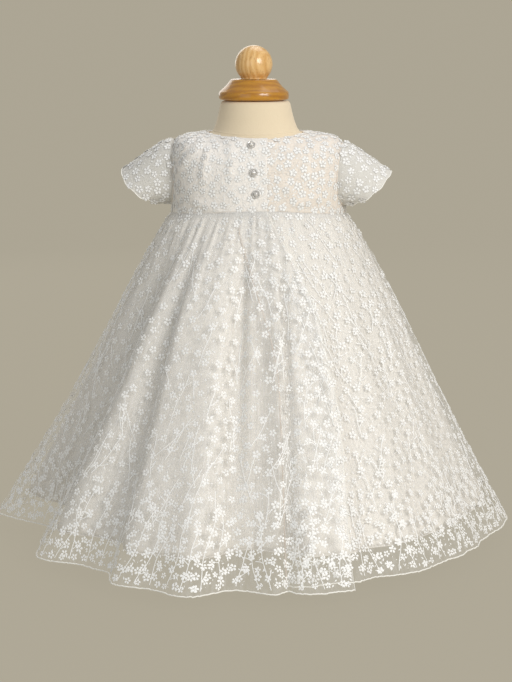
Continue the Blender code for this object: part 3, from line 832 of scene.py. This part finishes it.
PETALS = 5
PETAL = [(0, 0.58), (0, 0.16), (0.19, 0.36), (0.30, 0.70), (0, 0.96), (-0.30, 0.70), (-0.19, 0.36)]
PETAL_RISE = 0.55 * MM
LEAF = [(0, 0), (0, -0.5), (0.22, 0), (0, 0.5), (-0.22, 0)]
LEAF_RISE = 0.3 * MM
STITCH = 3 * MM
SPRIG_SPACING = 17 * MM
LOOSE_SPRIG_CELL = 31 * MM
FLOWER_RADIUS = 4.1 * MM
THREAD_LIFT = 0.35 * MM
STEM_HALF_WIDTH = 0.36 * MM
STEM_RISE = 0.3 * MM


class Embroidery:
    """The stitches of one panel, gathered into one mesh."""

    def __init__(self, panel, proud=0.0, shade_ringed=False):
        self.panel, self.proud, self.shade_ringed = panel, proud, shade_ringed
        self.vertices, self.faces, self.shaded_faces = [], [], []
        self.taken = {}

    def free(self, point, gap):
        cell = tuple(int(c // gap) for c in point)
        for x in (-1, 0, 1):
            for y in (-1, 0, 1):
                for z in (-1, 0, 1):
                    for other in self.taken.get((cell[0] + x, cell[1] + y, cell[2] + z), ()):
                        if np.linalg.norm(point - other) < gap:
                            return False
        return True

    def take(self, point, gap):
        self.taken.setdefault(tuple(int(c // gap) for c in point), []).append(point)

    def patch(self, row, column, outline, heights, heading, lift=THREAD_LIFT):
        """A fan of faces round its first point, laid flat on the panel."""
        point, normal, down, _ = self.panel.at(row, column)
        along = down - normal * down.dot(normal)
        along /= max(np.linalg.norm(along), 1e-9)
        across = np.cross(along, normal)
        angle = math.radians(heading)
        forward = along * math.cos(angle) - across * math.sin(angle)
        sideways = along * math.sin(angle) + across * math.cos(angle)
        first = len(self.vertices)
        for (x, y), h in zip(outline, heights):
            corner = point + sideways * x + forward * y + normal * (self.proud + lift + h)
            self.vertices.append(tuple(corner))
        rim = len(outline) - 1
        self.faces += [(first, first + 1 + k, first + 1 + (k + 1) % rim) for k in range(rim)]

    def flower(self, row, column, radius, heading):
        """Five raised petals, over a grey disc of painted shade that outlines them when the panel asks for
        one.
        """
        # The grey disc is painted shade round the petals, not a colour of the net.
        if self.shade_ringed:
            first = len(self.faces)
            turns = [math.radians(heading + 36 * k) for k in range(10)]
            reach = [radius * (1.02, 0.80)[k % 2] for k in range(10)]
            rim = [(r * math.sin(a), r * math.cos(a)) for r, a in zip(reach, turns)]
            self.patch(row, column, [(0, 0), *rim], [0.05 * MM] + [0.0] * 10, 0, 0.12 * MM)
            self.shaded_faces += range(first, len(self.faces))
        for k in range(PETALS):
            angle = math.radians(heading + 360 / PETALS * k)
            c, s = math.cos(angle), math.sin(angle)
            outline = [(radius * (x * c + y * s), radius * (y * c - x * s)) for x, y in PETAL]
            self.patch(row, column, outline, [PETAL_RISE] + [0.0] * 6, 0)

    def leaf(self, row, column, length, heading):
        outline = [(x * length, y * length) for x, y in LEAF]
        self.patch(row, column, outline, [LEAF_RISE, 0, 0, 0, 0], heading)

    def stem(self, places):
        """A ridge of thread through places on the panel."""
        spots = [self.panel.at(*place) for place in places]
        points = np.array([s[0] + s[1] * THREAD_LIFT * 0.6 for s in spots])
        normals = np.array([s[1] for s in spots])
        along = np.gradient(points, axis=0)
        across = np.cross(along, normals)
        across /= np.maximum(np.linalg.norm(across, axis=-1, keepdims=True), 1e-9)
        first = len(self.vertices)
        for point, normal, side in zip(points, normals, across):
            self.vertices += [tuple(point - side * STEM_HALF_WIDTH), tuple(point + normal * STEM_RISE),
                              tuple(point + side * STEM_HALF_WIDTH)]
        for k in range(len(points) - 1):
            a = first + 3 * k
            self.faces += [(a, a + 1, a + 4, a + 3), (a + 1, a + 2, a + 5, a + 4)]

    def sprig(self, row, column, length, heading, flowers, radius, gap):
        """A curving stem with a flower at its head and side shoots that end in flowers."""
        bend = draw.choice((-1, 1)) * draw.uniform(2.0, 5.0)
        places, spot, way = [(row, column)], (row, column), heading
        steps = int(length / STITCH)
        for k in range(steps):
            way += bend * math.cos(2.4 * k / steps * math.pi) + draw.normal(0, 1.5)
            spot = self.panel.step(*spot, way, STITCH)
            if not self.panel.inside(*spot, 0.6):
                break
            places.append(spot)
            if k % 5 == 2 and k < steps - 2:
                lean = draw.uniform(38, 60) * (1 if (k // 5) % 2 else -1)
                self.shoot(spot, way + lean, draw.uniform(5, 9) * MM, radius * 0.9, gap, flowers)
        if len(places) > 3:
            self.stem(places)
            self.bloom(places[-1], radius, gap)

    def shoot(self, spot, way, length, radius, gap, flowers):
        places = [spot]
        for k in range(3):
            places.append(self.panel.step(*places[-1], way + 10 * k, length / 3))
        if self.panel.inside(*places[-1], 1.0):
            self.stem(places)
            if draw.random() < flowers:
                self.bloom(places[-1], radius, gap)
            else:
                self.leaf(*places[-1], 3.4 * MM, way)

    def bloom(self, spot, radius, gap):
        point = self.panel.at(*spot)[0]
        if self.panel.inside(*spot, 1.5) and self.free(point, gap):
            self.take(point, gap)
            self.flower(*spot, radius * draw.uniform(0.88, 1.08), draw.uniform(0, 72))

    def scatter(self, count, gap, kind, density=lambda share: 1 + 0 * share, scale=1.0):
        """Lays one kind of stitch, as dense as density says for each share of the panel's height."""
        points = self.panel.points
        cells = np.linalg.norm(np.cross(np.gradient(points, axis=0), np.gradient(points, axis=1)), axis=-1)
        weight = (cells * density(np.linspace(0, 1, self.panel.rows))[:, None]).ravel()
        for cell in draw.choice(len(weight), count, p=weight / weight.sum()):
            row, column = divmod(int(cell), self.panel.columns)
            row, column = row + draw.uniform(-0.5, 0.5), column + draw.uniform(-0.5, 0.5)
            if not self.panel.inside(row, column, 1.0):
                continue
            point = self.panel.at(row, column)[0]
            if kind == "seed":
                self.leaf(row, column, draw.uniform(1.1, 1.9) * MM, draw.uniform(0, 360))
            elif self.free(point, gap):
                self.take(point, gap)
                if kind == "flower":
                    radius = FLOWER_RADIUS * scale * draw.uniform(0.82, 1.05)
                    self.flower(row, column, radius, draw.uniform(0, 72))
                else:
                    self.leaf(row, column, draw.uniform(2.6, 3.8) * MM, draw.uniform(-70, 70))

    def finish(self):
        piece = surface(f"{self.panel.name}_embroidery", self.vertices, self.faces, thread)
        # The discs under the flowers take the second material, a painted shade.
        piece.data.materials.append(flower_shade.material)
        for face in self.shaded_faces:
            piece.data.polygons[face].material_index = 1
        fix_on(piece)


def embroider_skirt(panel, width):
    """Close sprigs along the hem, scattered ones above them, then single flowers, leaves and seeds."""
    work = Embroidery(panel)
    steps = np.linalg.norm(np.diff(panel.points[-1], axis=0), axis=-1)
    run = np.concatenate([[0], np.cumsum(steps)])
    for place in np.arange(SPRIG_SPACING / 2, run[-1], SPRIG_SPACING):
        column = float(np.interp(place + draw.uniform(-4, 4) * MM, run, np.arange(len(run))))
        length, heading = draw.uniform(40, 78) * MM, 180 + draw.uniform(-14, 14)
        work.sprig(panel.rows - 1.8, column, length, heading, 0.85, FLOWER_RADIUS, 8.2 * MM)
    for _ in range(int(area_of(panel.points) / LOOSE_SPRIG_CELL**2)):
        row = panel.rows * math.sqrt(draw.uniform(0.02, 0.80))
        column = draw.uniform(1, panel.columns - 2)
        if work.free(panel.at(row, column)[0], 8 * MM):
            length, heading = draw.uniform(24, 52) * MM, 180 + draw.uniform(-28, 28)
            work.sprig(row, column, length, heading, 0.6, FLOWER_RADIUS * 0.95, 9.5 * MM)
    work.scatter(int(2600 * width), 8.6 * MM, "flower", lambda share: share**14, 0.88)
    work.scatter(int(900 * width), 4.2 * MM, "leaf", lambda share: share**12)
    work.scatter(int(9000 * width), 9.4 * MM, "flower", lambda share: 1.3 - 0.3 * share)
    work.scatter(int(5200 * width), 4.6 * MM, "leaf", lambda share: 1.2 - 0.5 * share)
    work.scatter(int(6500 * width), 1.0 * MM, "seed", lambda share: 1.2 - 0.5 * share)
    work.finish()


for part, width in zip(NET_PIECES, (0.40, 0.28, 0.52)):
    embroider_skirt(part.panel, width)


# The bodice
# Net backed with lining: the right front laps over the left front from the neck to the waist and
# carries the buttons, and the back is one piece. Seams at the shoulders and sides, bound neck.

LAPPED_COLOUR = (0.975, 0.935, 0.885)
LAPPED_SHADE = (0.93, 0.88, 0.83)
BODICE_COLOUR = (0.93, 0.85, 0.765)
BODICE_SHADE = (0.87, 0.79, 0.705)
NECK_HUG = 1.2 * MM
NECK_ROLL = 0.5 * MM
PLACKET_ROLL = 0.35 * MM
ARMHOLE_MIDDLE = (ARMHOLE_TOP + ARMHOLE_BOTTOM) / 2
ARMHOLE_HALF = (ARMHOLE_BOTTOM - ARMHOLE_TOP) / 2
BODICE_THICKNESS = 0.6 * MM


def armhole_half_width(station):
    across = (station - ARMHOLE_MIDDLE) / ARMHOLE_HALF
    return ARMHOLE_BEARINGS * np.sqrt(np.clip(1 - across**2, 0, 1))


def drape_line(points, start, end, height, spread):
    """A soft drag line between two places, given across and up in mm, on the front."""
    start, end = np.array(start) * MM, np.array(end) * MM
    flat = points[..., [0, 2]]
    run = end - start
    share = ((flat - start) @ run) / (run @ run)
    away = np.linalg.norm(flat - start - share[..., None] * run, axis=-1)
    rise = height * MM * np.exp(-((away / (spread * MM)) ** 2))
    return rise * smooth(share * 4) * smooth((1.1 - share) * 3)


Drag = namedtuple("Drag", "start end height spread")
RIGHT_DRAGS = [
    Drag((-48, 386), (-74, 352), 1.9, 3.2),
    Drag((-56, 386), (-79, 364), 1.2, 2.4),
    Drag((-44, 380), (-50, 344), 1.4, 3.0),
    Drag((-62, 330), (-30, 321), 1.0, 3.5),
    Drag((-22, 382), (-24, 350), 0.8, 3.0),
]
LEFT_DRAGS = [
    Drag((46, 384), (66, 358), 1.2, 3.5),
    Drag((30, 325), (62, 333), 0.9, 3.5),
    Drag((20, 352), (40, 326), 0.8, 4.0),
]


def bodice_panel(name, first, last, columns, lapped, drags):
    above = np.linspace(NECKLINE, ARMHOLE_TOP, 22)[:-1]
    beside = ARMHOLE_MIDDLE - ARMHOLE_HALF * np.cos(np.linspace(0, np.pi, 34))
    below = np.linspace(ARMHOLE_BOTTOM, WAIST - 0.05, 8)[1:]
    stations = np.concatenate([above, beside, below])[:, None]
    bearing = mix(first(stations), last(stations), np.linspace(0, 1, columns)[None, :])
    offset = bodice_middle(bearing - bearing_at_x(stations, UNDERLAP_EDGE_X), lapped)
    offset = offset - NECK_HUG * (1 - smooth((stations - NECKLINE) / 0.45))
    plain = form_point(stations + 0 * bearing, bearing)
    for drag in drags:
        offset = offset + drape_line(plain, *drag) * (np.cos(np.radians(bearing)) > 0)
    points = on_form(stations + 0 * bearing, bearing, offset)
    uv = np.stack(np.broadcast_arrays(np.radians(bearing) * 0.075, points[..., 2]), -1)
    return Panel(name, points), uv


def cut_side(side, sign):
    """A bodice edge along the shoulder seam, the armhole and the side seam."""

    def edge(station):
        beside = (station > ARMHOLE_TOP) & (station < ARMHOLE_BOTTOM)
        return side + sign * (0.12 + np.where(beside, armhole_half_width(station), 0))

    return edge


def backed(name, colour, shade):
    """Net with lining behind it, mottled by the mesh and by its vines of raised thread."""
    cloth = Finish(name, colour, 0.6, **NET_SHEEN)
    place = cloth.node("TexCoord", output=3)
    mottle = cloth.noise(place, 260.0, 3.0, 0.8)
    vine = vines(cloth, place, 190.0)
    mottled = cloth.blend(mottle, shade, colour)
    cloth.feed("Base Color", cloth.blend(vine * 0.35, mottled, THREAD_COLOUR))
    cloth.bump(mottle + vine * 0.8, 0.0005, 0.7)
    return cloth


lapped_net = backed("backed net, lapped", LAPPED_COLOUR, LAPPED_SHADE)
backed_net = backed("backed net", BODICE_COLOUR, BODICE_SHADE)

right_front = bodice_panel("bodice_right", cut_side(RIGHT_SIDE, 1), lambda s: bearing_at_x(s, PLACKET_EDGE_X),
                           90, True, RIGHT_DRAGS)
left_front = bodice_panel("bodice_left", lambda s: bearing_at_x(s, UNDERLAP_EDGE_X), cut_side(LEFT_SIDE, -1),
                          90, False, LEFT_DRAGS)
rear = bodice_panel("bodice_rear", cut_side(LEFT_SIDE, 1), cut_side(360 + RIGHT_SIDE, -1), 130, False, [])
BODICE_PIECES = [
    NetPiece(*right_front, "bodice_front_right", (0.13, 0.10), ("last",), lapped_net),
    NetPiece(*left_front, "bodice_front_left", (0.14, 0.10), (), backed_net),
    NetPiece(*rear, "bodice_back", (0.22, 0.10), (), backed_net),
]
for part in BODICE_PIECES:
    piece = sheet_of(part.panel.name, part.panel.points, part.finish, uv=part.uv)
    apply_modifier(piece, "cloth", "SOLIDIFY", thickness=BODICE_THICKNESS, offset=0.0)
    fix_on(piece, part.node)
    points = part.panel.points
    seams = [("neck", points[0], NECK_ROLL)]
    if "last" in part.edges:
        seams.append(("placket", points[:, -1], PLACKET_ROLL))
    rolls = [rolled("embroidered_net", f"{part.panel.name}_{edge}", path, radius, part.finish)
             for edge, path, radius in seams]
    area_of(points)
    work = Embroidery(part.panel, BODICE_THICKNESS / 2, shade_ringed=True)
    work.scatter(3600, 7.6 * MM, "flower")
    work.scatter(900, 5.0 * MM, "leaf")
    work.scatter(900, 1.0 * MM, "seed")
    work.finish()


# The sleeves
# Cap sleeves of one layer of embroidered net, set into the armholes. Each is deep over the
# shoulder and runs out under the arm, with a rolled hem that slants to a point.

SLEEVE_TIP = np.array((128.5, 0.0, 354.0)) * MM
SLEEVE_LOW = np.array((87.5, 0.0, 322.5)) * MM
SLEEVE_HALF_DEPTH = 30 * MM
SLEEVE_HEM_BOW = 5.5 * MM
SLEEVE_CROWNS = {-1: 6.5 * MM, 1: 3.5 * MM}
SLEEVE_SEAM_LIFT = 2.7 * MM
SEAM_OVERLAP = 0.5 * MM
ARM_RADIUS = 80 * MM
SLEEVE_HEM_ROLL = 0.45 * MM
SLEEVE_SEAM_ROLL = 0.5 * MM
SLEEVE_FLAT = (0.19, 0.06)
SLEEVE_COVER = 0.94
# Grey rather than the skirt's white, and nearly opaque: painted shade for the hollow inside the sleeve seen
# through the net.
SLEEVE_SHADE_COLOUR = (0.76, 0.74, 0.695)


def sleeve_panel(name, side):
    arm_bearing = LEFT_SIDE if side > 0 else RIGHT_SIDE
    bearing_reach = ARMHOLE_BEARINGS + math.degrees(SEAM_OVERLAP / ARM_RADIUS)
    high, low = form_point(np.array([ARMHOLE_TOP, ARMHOLE_BOTTOM]), np.full(2, 90.0))[:, 2]
    station_reach = ARMHOLE_HALF * (1 + SEAM_OVERLAP / ((high - low) / 2))
    share = np.linspace(0, 1, 22)[:, None]
    angle = np.linspace(0, 2 * np.pi, 96, endpoint=False)[None, :] * (1 if side < 0 else -1)
    forward, top = np.sin(angle), (1 + np.cos(angle)) / 2
    around = arm_bearing - side * bearing_reach * forward
    seam = on_form(ARMHOLE_MIDDLE - station_reach * np.cos(angle), around, SLEEVE_SEAM_LIFT + 0 * angle)
    low_to_tip = mix(SLEEVE_LOW, SLEEVE_TIP, top[..., None])
    bow = SLEEVE_HEM_BOW * forward**2
    hem = np.stack([side * (low_to_tip[..., 0] + 0.6 * bow), -SLEEVE_HALF_DEPTH * forward,
                    low_to_tip[..., 2] - 0.8 * bow], -1)
    c, s = math.cos(math.radians(DRESS_TURN)), math.sin(math.radians(DRESS_TURN))
    hem = hem @ np.array([[c, s, 0], [-s, c, 0], [0, 0, 1]])
    points = mix(seam, hem, share[..., None])
    belly = np.sin(np.pi * share**0.5)
    gathers = 0.7 * MM * np.sin(angle * 21 + 1.3 * np.sin(angle * 4)) * top
    gathers = gathers * np.exp(-share / 0.25) * smooth(share / 0.08)
    waves = 0.9 * MM * np.sin(angle * 9 + 1) * share**2
    points[..., 2] += SLEEVE_CROWNS[side] * top * belly + gathers + waves
    points[..., 1] -= 2 * MM * forward * belly
    return Panel(name, points, closed=True)


# The net on the sleeves is painted in this shade grey.
shaded_sleeve_net = Finish("sleeve net", SLEEVE_SHADE_COLOUR, 0.6, **NET_SHEEN)
vine = vines(shaded_sleeve_net, shaded_sleeve_net.node("TexCoord", output=3), 200.0)
shaded_sleeve_net.feed("Alpha", vine * 0.06 + SLEEVE_COVER)
shaded_sleeve_net.bump(vine, 0.0004, 0.5)
for name, side, node in (("sleeve_of_left", 1, "sleeve_left"), ("sleeve_of_right", -1, "sleeve_right")):
    panel = sleeve_panel(name, side)
    piece = sheet_of(name, panel.points, shaded_sleeve_net, closed=True)
    fix_on(piece, node)
    rolls = [rolled("embroidered_net", name + "_hem", panel.points[-1], SLEEVE_HEM_ROLL, roll_cloth, True),
             rolled("embroidered_net", name + "_seam", panel.points[0], SLEEVE_SEAM_ROLL, backed_net, True)]
    min(area_of(panel.points, True), SLEEVE_FLAT[0] * SLEEVE_FLAT[1])
    work = Embroidery(panel, shade_ringed=True)
    work.scatter(1300, 7.9 * MM, "flower")
    work.scatter(500, 5.0 * MM, "leaf")
    work.scatter(300, 1.0 * MM, "seed")
    work.finish()


# The buttons
# Three pearl buttons, each a domed bead in a thin silvery rim on a short shank, sewn through the
# lapped edge, one below another.

BUTTON_OUTLINE = [(0, 3.3), (0.7, 3.2), (1.4, 2.85), (2.0, 2.2), (2.3, 1.4), (2.35, 0.3), (2.75, 0.3),
                  (2.9, 1.1), (3.3, 1.3), (3.75, 1.0), (3.9, 0.5), (3.8, 0.0), (0, 0)]
PEARL_COLOUR = (0.80, 0.78, 0.75)
PEARL_DULL = (0.56, 0.54, 0.52)
PEARL_BRIGHT = (0.92, 0.90, 0.87)
pearl = Finish("pearl button", PEARL_COLOUR, 0.16, Metallic=0.35, Coat_Weight=0.6, Coat_Roughness=0.06)
lustre = pearl.noise(pearl.node("TexCoord", output=3), 500.0)
pearl.feed("Base Color", pearl.blend(lustre, PEARL_DULL, PEARL_BRIGHT))
for number in (1, 2, 3):
    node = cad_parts[f"button_{number}"]
    corners = np.array([v.co for v in node.data.vertices])
    centre = corners.mean(0)
    facing = np.linalg.svd(corners - centre)[2][-1]
    facing *= -np.sign(facing[1])
    foot = centre + facing * ((corners - centre) @ facing).min()
    bead = turned(f"pearl_{number}", BUTTON_OUTLINE, 0.0, 0.0, pearl, f"button_{number}", 0)
    up = np.array([0.0, 0.0, 1.0]) - facing * facing[2]
    up /= np.linalg.norm(up)
    frame_of_bead = np.stack([np.cross(up, facing), up, facing], 1)
    spots = np.array([v.co for v in bead.data.vertices]) @ frame_of_bead.T + foot
    bead.data.vertices.foreach_set("co", spots.ravel())
    bead.data.update()
